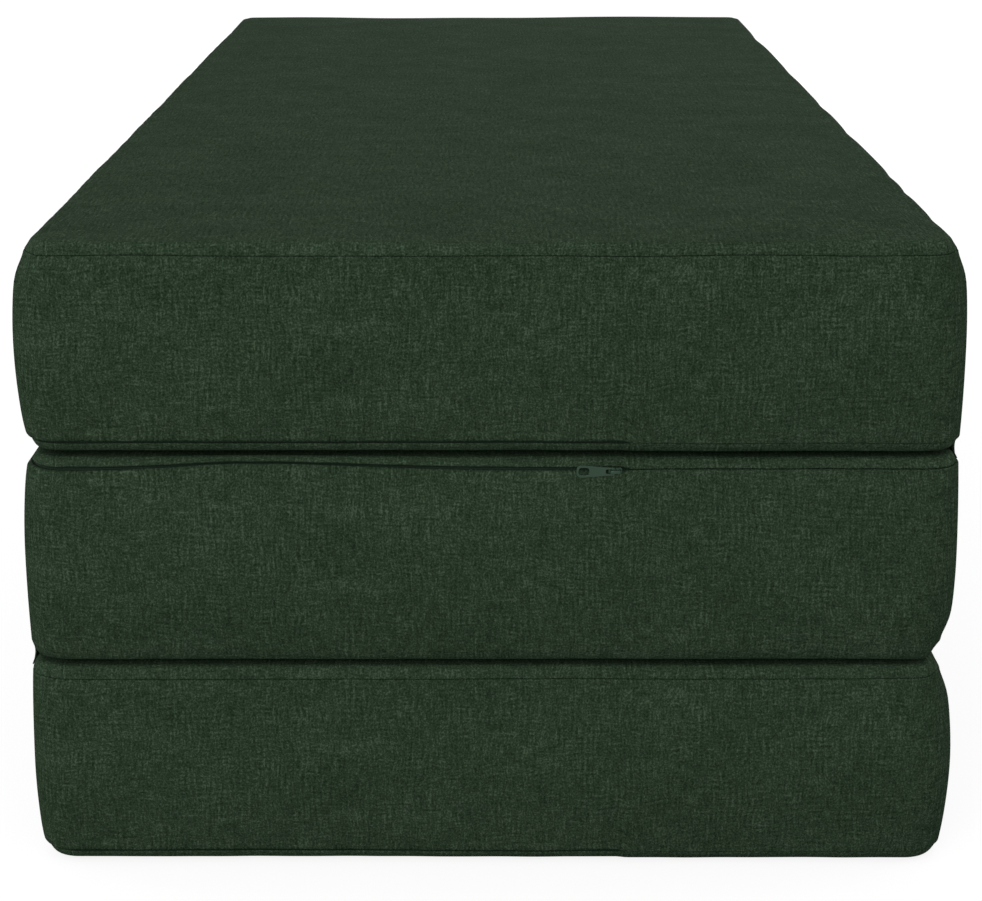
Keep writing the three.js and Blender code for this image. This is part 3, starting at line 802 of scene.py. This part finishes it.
# Cut support foam: yellowish, with larger open cells
CORE = plain_material("support_foam", ("#d9cfb0", "#ece4cb"), 3 * MM, 0.6 * MM, roughness=0.9)

# The outline of the cloth and zips, and a coarser one for what lies hidden inside
OUTLINE = Outline(3 * MM, 5.5 * MM, 12)
COARSE = Outline(20 * MM, 24 * MM, 6)


def finish_piece(made, body, material, slot, *nodes):
    """Gives a piece its material and its body, and hides the CAD nodes that it stands for. The slot
    is not used.
    """
    made.data.materials.clear()
    made.data.materials.append(material)
    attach(made, body)
    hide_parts(*nodes)
    return made


def make_covers(name):
    """Base, band and face of one panel's cover."""
    seam_turn = PANELS[name]["seam_turn"]
    band = stacked(OUTLINE, band_rows(OUTLINE, seam_turn))
    base = stacked(OUTLINE, base_rows(OUTLINE))
    face = stacked(OUTLINE, face_rows(seam_turn))
    sheets = {
        "cover_band": band_sheet(f"{name}_band_cloth", name, OUTLINE, band),
        "cover_base": disc_sheet(f"{name}_base_cloth", name, OUTLINE, base, True),
        "cover_face": disc_sheet(f"{name}_face_cloth", name, OUTLINE, face, False),
    }
    for part, sheet in sheets.items():
        add_solidify(sheet, CLOTH_THICKNESS)
        finish_piece(sheet, f"{name}_panel", LINEN, "cloth", f"{name}_{part}")


def inner_inset(level, depth):
    """Inset of a wall at a depth under the cover: the parabola of the wall plus the depth.

    A bell curve about the face seam makes room for its flaps.
    """
    return wall_inset(level) + depth + FLAP_ROOM * hump(level, SEAM_LEVEL, 6 * MM)


def inner_rows(depth, foot, start_inset, top_level=None):
    """Rows of a body inside the cover, from the flat of its base side up its wall.

    A bevel leaves room for the zip. With no top level the rim and the crown of the face follow.
    """
    rows = [(start_inset, depth), (0.5 * (start_inset + foot), depth), (foot, depth + 0.9 * MM)]
    last = top_level or SEAM_LEVEL
    for level in [FOAM_BEVEL_LEVEL, *np.linspace(55 * MM, last, 5)]:
        rows.append((inner_inset(level, depth), level))
    if top_level:
        return rows
    return rows + inner_crown(depth)


def inner_crown(depth):
    """Rows of the rim and crown of the face: those of the cover, set back by a depth."""
    rows = []
    for turn in np.radians([15, 35, 60, 90]):
        across, up = rim_place(turn, FACE_RIM)
        inset = SEAM_DRAW_IN + across + depth * math.cos(turn)
        rows.append((inset, SEAM_LEVEL + up - depth * math.sin(turn)))
    for share in (0.25, 0.5, 0.75, 1):
        level = PANEL_HEIGHT - depth - FACE_EDGE_DROP * (1 - share) ** 2
        rows.append((rows[3][0] + share * CROWN_RUN, level))
    return rows + [(200 * MM, PANEL_HEIGHT - depth), (290 * MM, PANEL_HEIGHT - depth)]


def make_filling(name):
    """Knitted sock with its open mouth on the base side, and the two foams that it holds."""
    body = f"{name}_panel"
    sock_rows = inner_rows(SOCK_DEPTH, 18 * MM, 70 * MM)
    sock = disc_sheet(f"{name}_sock_knit", name, COARSE, stacked(COARSE, sock_rows), False)
    add_solidify(sock, SOCK_THICKNESS)
    finish_piece(sock, body, SOCK, "sock", f"{name}_inner_sock")

    flat_insets = (20 * MM, 150 * MM, 290 * MM)
    core_rows = [(flat_insets[2], FOAM_DEPTH)]
    core_rows += inner_rows(FOAM_DEPTH, 19.4 * MM, flat_insets[1], FOAM_SPLIT_LEVEL)
    core_rows += [(inset, FOAM_SPLIT_LEVEL) for inset in flat_insets]
    under = FOAM_SPLIT_LEVEL + FOAM_GAP
    comfort_rows = [(inset, under) for inset in flat_insets[::-1]]
    for level in np.linspace(under, SEAM_LEVEL, 3):
        comfort_rows.append((inner_inset(level, FOAM_DEPTH), level))
    comfort_rows += inner_crown(FOAM_DEPTH)
    for foam, material, rows in (
        ("core_foam", CORE, core_rows),
        ("comfort_foam", COMFORT, comfort_rows),
    ):
        profile = stacked(COARSE, rows)
        block = disc_sheet(f"{name}_{foam}_block", name, COARSE, profile, False, True)
        finish_piece(block, body, material, foam, f"{name}_{foam}")


def zip_arcs(step):
    """Arc lengths along the zip, from its back end round the left side to its front end."""
    reach = ZIP_END_X + ZIP_SLOT_TAPER + 6 * MM
    return np.arange(-reach, OUTLINE.arc[-1] / 2 + reach, step)


def make_tapes(name):
    """The two cloth tapes of a zip: one up behind the band, one round inside the base rim."""
    run = OUTLINE.resampled(zip_arcs(4 * MM))
    front = SEAM_DRAW_IN + ZIP_DEPTH
    band_side = [(front, ZIP_LEVEL + up * MM) for up in (0.85, 2.5, 4.5)]
    band_side += [(SEAM_DRAW_IN + 1.6 * MM, ZIP_LEVEL + up * MM) for up in (8, 14.3)]
    base_side = [base_place(run, turn, 1.5 * MM) for turn in np.radians([85, 60, 35, 20])]
    base_side.append((front + 1.4 * MM, ZIP_LEVEL - 2.5 * MM))
    base_side.append((front, ZIP_LEVEL - 0.85 * MM))
    for side, rows in (("band_side", band_side), ("base_side", base_side)):
        tape = band_sheet(f"{name}_tape_{side}", name, run, stacked(run, rows), closed=False)
        add_solidify(tape, TAPE_THICKNESS)
        finish_piece(tape, f"{name}_panel", TAPE, "zip_tape", f"{name}_zip_tape_{side}")


def make_coils(name):
    """Rows of coil turns behind both tapes, meshed in the middle, each round its filler cord.

    Each turn is a bar of three six-sided rings across the zip, each ring a cosine along the zip
    and a sine into it, and the cord is one ring after another along the zip. Both are made as
    arrays: turns or stations by ring points.
    """
    ring_angle = np.radians(np.arange(0, 360, 60))
    across = np.repeat([-0.45, 0.15, 3.0], 6) * MM
    size = np.repeat([0.55, 1.0, 0.75], 6)
    along = 0.66 * MM * size * np.tile(np.cos(ring_angle), 3)
    depth = 0.8 * MM * size * np.tile(np.sin(ring_angle), 3)
    sides, _ = grid_faces(3, 6, True, False)
    caps = np.array([[5, 4, 3, 2, 1, 0], [12, 13, 14, 15, 16, 17]])
    middle = SEAM_DRAW_IN + ZIP_DEPTH + 1.5 * MM
    turned = PANELS[name]["turned"]
    for side, sign in (("band_side", 1), ("base_side", -1)):
        middles = zip_arcs(COIL_PITCH) + (COIL_PITCH / 2 if sign < 0 else 0)
        run = OUTLINE.resampled((middles[:, None] + along).ravel())
        level = ZIP_LEVEL + sign * np.tile(across, len(middles))
        inset = middle - np.tile(depth, len(middles))
        turns = placed(name, run, inset[None, :], level[None, :])[0]
        first = 18 * np.arange(len(middles))[:, None, None]
        flipped = (sign < 0) == turned
        faces = []
        for shape in (sides, caps):
            shape = shape[:, ::-1] if flipped else shape
            faces += (first + shape).reshape(-1, shape.shape[1]).tolist()
        stations = OUTLINE.resampled(zip_arcs(COIL_PITCH))
        wide = np.ones((1, stations.count))
        cord_inset = (middle - 0.45 * MM * np.sin(ring_angle))[:, None] * wide
        cord_level = (ZIP_LEVEL + sign * (1.35 - 1.3 * np.cos(ring_angle)) * MM)[:, None] * wide
        cord = placed(name, stations, cord_inset, cord_level).transpose(1, 0, 2).reshape(-1, 3)
        quads, _ = grid_faces(stations.count, 6, True, not flipped)
        ends = np.array([np.arange(6)[::-1], 6 * (stations.count - 1) + np.arange(6)])
        ends = ends[:, ::-1] if not flipped else ends
        cord_faces = quads.tolist() + ends.tolist()
        coil = make_mesh(f"{name}_coil_{side}", *joined([(turns, faces), (cord, cord_faces)]))
        finish_piece(coil, f"{name}_panel", COIL, "zip_coil", f"{name}_zip_coil_{side}")


def cut_plate(outlines, thickness, bevel):
    """Points and faces of a plate cut from closed outlines, holes included, with rounded edges."""
    curve = bpy.data.curves.new("plate", "CURVE")
    curve.dimensions = "2D"
    curve.fill_mode = "BOTH"
    curve.extrude = thickness / 2 - bevel
    curve.bevel_depth = bevel
    curve.bevel_resolution = 2
    for outline in outlines:
        spline = curve.splines.new("POLY")
        spline.points.add(len(outline) - 1)
        spline.use_cyclic_u = True
        flat = np.column_stack([outline, np.zeros(len(outline)), np.ones(len(outline))])
        spline.points.foreach_set("co", flat.ravel())
    carrier = bpy.data.objects.new("plate", curve)
    bpy.context.scene.collection.objects.link(carrier)
    bpy.context.view_layer.update()
    depsgraph = bpy.context.evaluated_depsgraph_get()
    mesh = bpy.data.meshes.new_from_object(carrier.evaluated_get(depsgraph))
    points = np.zeros(3 * len(mesh.vertices))
    mesh.vertices.foreach_get("co", points)
    faces = [list(polygon.vertices) for polygon in mesh.polygons]
    bpy.data.objects.remove(carrier)
    bpy.data.curves.remove(curve)
    bpy.data.meshes.remove(mesh)
    return points.reshape(-1, 3), faces


def rounded(corners, steps=6):
    """Closed outline through corners, each (x, y, reach), rounded by a parabola at each.

    The parabola leaves one side and meets the next one at the reach from their corner.
    """
    outline = []
    count = len(corners)
    for index, (x, y, reach) in enumerate(corners):
        here = np.array([x, y], float)
        before = np.array(corners[index - 1][:2], float) - here
        after = np.array(corners[(index + 1) % count][:2], float) - here
        start = here + before / np.linalg.norm(before) * reach
        end = here + after / np.linalg.norm(after) * reach
        share = np.linspace(0, 1, steps)[:, None]
        outline.append((1 - share) ** 2 * start + 2 * share * (1 - share) * here + share**2 * end)
    return np.vstack(outline)


def joined(parts):
    """One list of points and faces from several."""
    points, faces, first = [], [], 0
    for part_points, part_faces in parts:
        points.append(part_points)
        faces += [[first + corner for corner in face] for face in part_faces]
        first += len(part_points)
    return np.vstack(points), faces


def mirrored(half):
    """Corners of an outline from those of its lower half, given from left to right."""
    return half + [(x, -y, reach) for x, y, reach in half[::-1]]


# Plates of the slider and the pull, in millimetres: half an outline as (x, y, corner reach), its
# holes in the same form, thickness, place of its middle plane and bevel
OUTER_PLATE = ([(-4.5, -1.9, 0.8), (0.5, -1.9, 0.8), (4.5, -2.3, 2)], [], 1.0, 1.11, 0.25)
INNER_PLATE = ([(-4.5, -3.5, 0.8), (0, -3.5, 0.8), (4.5, -3.9, 2.4)], [], 0.9, -6.9, 0.2)
NECK = ([(1.3, -0.75, 0.4), (2.7, -0.75, 0.4)], [], 8.2, -2.9, 0.15)
BRIDGE_OUTLINE = [(-3.5, 1.1, 0.3), (3.5, 1.1, 0.3), (3.5, 4.9, 1.5), (-3.5, 4.9, 1.5)]
BRIDGE_EYE = [(-2.5, 1.5, 0.3), (2.4, 1.5, 0.3), (2.4, 3.9, 0.8), (-2.5, 3.9, 0.8)]
PULL = (
    [(-26.75, -4.3, 3.9), (-21.5, -4.1, 1), (-7.2, -2.8, 1.5), (-0.75, -2.7, 0.9)],
    [[(-7.1, -1.8, 1.6), (-1.75, -1.8, 1.6)], [(-25.8, -2.95, 2.7), (-17.8, -2.95, 2.7)]],
    1.2,
    2.757,
    0.3,
)


def plate(outline, holes, thickness, middle, bevel):
    """Points and faces of a plate in the x-y plane, with its middle plane at a height."""
    outlines = [rounded(corners) for corners in [outline, *holes]]
    points, faces = cut_plate(outlines, thickness, bevel)
    return points + np.array([0, 0, middle]), faces


def make_slider_and_pull(name):
    """Zip slider and its pull, in the slider's frame: x to the parked end, y out, z across."""
    facts = PANELS[name]
    level = PANEL_HEIGHT - ZIP_LEVEL if facts["turned"] else ZIP_LEVEL
    level += facts["storey"] * PANEL_PITCH
    out = -1 if facts["turned"] else 1
    wall = out * (HALF_LENGTH - SEAM_DRAW_IN)

    def settled(points, standing=False):
        """Points of a plate into the frame: one lies flat on the wall or stands out from it."""
        along, outward, across = points[:, 0], points[:, 2], points[:, 1]
        if standing:
            outward, across = points[:, 1], -points[:, 2]
        x = along * MM + SLIDER_X
        y = outward * MM * out + wall
        z = across * MM * -out + level
        return np.stack([x, y, z], axis=-1)

    parts = []
    for half, holes, *sizes in (OUTER_PLATE, INNER_PLATE, NECK):
        points, faces = plate(mirrored(half), holes, *sizes)
        parts.append((settled(points), faces))
    points, faces = plate(BRIDGE_OUTLINE, [BRIDGE_EYE], 2.4, 0, 0.35)
    parts.append((settled(points, standing=True), faces))
    slider = make_mesh(f"{name}_slider_body", *joined(parts))
    finish_piece(slider, f"{name}_slider", ENAMEL, "zip_metal", f"{name}_zip_slider")

    half, holes, *sizes = PULL
    points, faces = plate(mirrored(half), [mirrored(hole) for hole in holes], *sizes)
    pull = make_mesh(f"{name}_pull_tab", settled(points), faces)
    finish_piece(pull, f"{name}_pull", ENAMEL, "zip_metal", f"{name}_zip_pull")


def make_fold_strip(side, low_panel, high_panel):
    """Cloth strip that joins two panels over the notch between their rims.

    Its legs lie on the rims below the seams, where the stuffing has pushed them. Its web is a
    straight blend between the legs, drawn into the notch by half a sine wave whose depth varies
    along the strip.
    """
    sign = -1 if side == "left" else 1
    wall = OUTLINE.left_start + np.arange(OUTLINE.side_count + 1)
    if side == "right":
        wall = wall + (OUTLINE.count - 2 * OUTLINE.side_count) // 2 + OUTLINE.side_count
    run = OUTLINE.resampled(OUTLINE.arc[wall])
    lift = CLOTH_THICKNESS + 0.3 * MM
    turns = rim_turn(np.array([1.2, 2, 3, 4, 5]) * MM, FACE_RIM)
    if side == "left":
        across, up = rim_place(turns, FACE_RIM)
        rows = [(SEAM_DRAW_IN + a - lift, SEAM_LEVEL + u) for a, u in zip(across, up)]
    else:
        rows = [base_place(run, turn) for turn in turns]
        rows = [(inset - lift, level) for inset, level in rows]
    leg = stacked(run, rows)
    low, high = placed(low_panel, run, *leg), placed(high_panel, run, *leg)[::-1]
    share = np.linspace(0, 1, 14)[1:-1, None, None]
    web = (1 - share) * low[-1] + share * high[0]
    y = web[0, :, 1]
    tuck = TUCK * (1 + waves(y, 0 * y, 0 * y, TUCK_WAVES, 40 + sign))
    web[:, :, 0] -= sign * np.sin(math.pi * share[:, :, 0]) * np.clip(tuck, 0, None)
    grid = np.concatenate([low, web, high])
    vertices, unwrapped = grid_faces(len(grid), run.count, False, False)
    steps = np.linalg.norm(np.diff(grid, axis=0), axis=2).mean(axis=1)
    rolled = np.concatenate([[0], np.cumsum(steps)])
    u, v = np.broadcast_arrays(run.arc[None, :], rolled[:, None])
    uvs = np.stack([u, v], axis=-1).reshape(-1, 2)[unwrapped.ravel()]
    strip = make_mesh(f"{side}_fold_cloth", grid.reshape(-1, 3), vertices.tolist(), uvs)
    add_solidify(strip, CLOTH_THICKNESS)
    strip.data.materials.append(LINEN)
    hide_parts(f"{side}_fold_strip")
    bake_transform(strip)


def seen_by(tree, *kinds):
    """1 for light rays of any of the kinds, such as those of the camera, and 0 for others."""
    rays = node(tree, "ShaderNodeLightPath")
    seen = rays.outputs[f"Is {kinds[0]} Ray"]
    for kind in kinds[1:]:
        pair = [seen, rays.outputs[f"Is {kind} Ray"]]
        seen = node(tree, "ShaderNodeMath", pair, operation="MAXIMUM").outputs[0]
    return seen


def make_floor():
    """Plain pale floor that shows white to the camera and keeps the shadow."""
    corners = np.array([[-6, -6, 0], [6, -6, 0], [6, 6, 0], [-6, 6, 0]], float)
    floor = make_mesh("floor", corners, [[0, 1, 2, 3]])
    made, tree, output = new_material("white_floor")
    diffuse = node(tree, "ShaderNodeBsdfDiffuse", {"Color": (0.2, 0.2, 0.2, 1)})
    glow = node(tree, "ShaderNodeEmission", {"Color": (1, 1, 1, 1), "Strength": 0.84})
    both = node(tree, "ShaderNodeAddShader", [diffuse.outputs[0], glow.outputs[0]])
    seen = seen_by(tree, "Camera", "Glossy")
    shown = node(tree, "ShaderNodeMixShader", [seen, diffuse.outputs[0], both.outputs[0]])
    tree.links.new(shown.outputs[0], output.inputs["Surface"])
    floor.data.materials.append(made)


def make_world():
    """White background, and a soft light from all round a little below its strength."""
    world = bpy.data.worlds.new("studio")
    bpy.context.scene.world = world
    world.use_nodes = True
    tree = world.node_tree
    tree.nodes.clear()
    seen = seen_by(tree, "Camera", "Glossy", "Transmission")
    strength = node(tree, "ShaderNodeMapRange", {"Value": seen, "To Min": 0.87, "To Max": 1.0})
    inputs = {"Color": (1, 1, 1, 1), "Strength": strength.outputs[0]}
    background = node(tree, "ShaderNodeBackground", inputs)
    output = node(tree, "ShaderNodeOutputWorld")
    tree.links.new(background.outputs[0], output.inputs["Surface"])


def make_lamps():
    """Four soft area lamps round the stack, each turned towards a point of it."""
    for label, place, aim, power in (
        ("key", (-1.2, -4.2, 1.15), (0, -0.7, 0.2), 86),
        ("back", (0.8, 4.2, 0.7), (0, 0.7, 0.25), 34),
        ("left", (-3.8, 0.3, 0.8), (-0.3, 0, 0.25), 40),
        ("right", (3.8, 0.3, 0.8), (0.3, 0, 0.25), 40),
    ):
        data = bpy.data.lights.new(label, "AREA")
        data.size = LAMP_SIZE
        data.energy = power
        lamp = bpy.data.objects.new(label, data)
        lamp.location = place
        direction = np.array(aim) - np.array(place)
        spread = math.hypot(direction[0], direction[1])
        turn = math.atan2(direction[1], direction[0]) - math.pi / 2
        lamp.rotation_euler = (math.pi / 2 + math.atan2(direction[2], spread), 0, turn)
        bpy.context.scene.collection.objects.link(lamp)


make_camera()
for panel_name in PANELS:
    make_covers(panel_name)
    make_filling(panel_name)
    make_tapes(panel_name)
    make_coils(panel_name)
    make_slider_and_pull(panel_name)
make_fold_strip("left", "bottom", "middle")
make_fold_strip("right", "middle", "top")

bpy.context.scene.view_settings.view_transform = "Standard"
make_floor()
make_world()
make_lamps()
